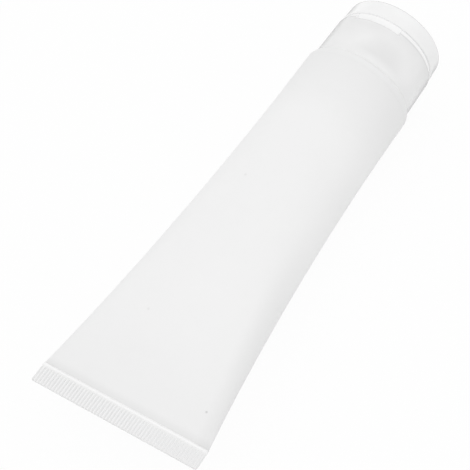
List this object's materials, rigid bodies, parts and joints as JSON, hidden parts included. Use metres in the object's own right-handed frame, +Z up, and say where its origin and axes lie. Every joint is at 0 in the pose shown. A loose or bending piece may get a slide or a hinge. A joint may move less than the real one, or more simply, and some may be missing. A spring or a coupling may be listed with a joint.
{
  "type": "refillable travel tube",
  "caption": "Soft frosted squeeze tube with a ribbed crimped tail, a moulded head and neck, and a clear screw cap with a flip lid.",
  "frame": {"origin": "on the surface the tube lies on, below the middle of its length", "axes": "+Y along the tube from the crimped tail to the cap, +X across the flat tail, +Z up through the thumb recess"},
  "size_m": [0.0472, 0.128, 0.03],
  "materials": {
    "frosted_sleeve": "frosted translucent polyethylene, satin",
    "milky_head": "milky translucent polyethylene, satin",
    "clear_cap": "clear polypropylene, slightly hazy"
  },
  "bodies": {
    "tube": {"tube_sleeve": "frosted_sleeve", "tube_head": "milky_head"},
    "cap": {"cap_base": "clear_cap", "living_hinge": "clear_cap"},
    "lid": {"cap_lid": "clear_cap"}
  },
  "joints": [
    {"name": "cap_lift", "type": "slide", "parent": "tube", "child": "cap", "axis": [0, 1, 0], "range_m": [0, 0.045]},
    {"name": "lid_flip", "type": "hinge", "parent": "cap", "child": "lid", "pos_m": [0, 0.05858, 0.00026], "axis": [-1, 0, 0], "range_deg": [0, 180], "deforming": ["living_hinge"]}
  ]
}
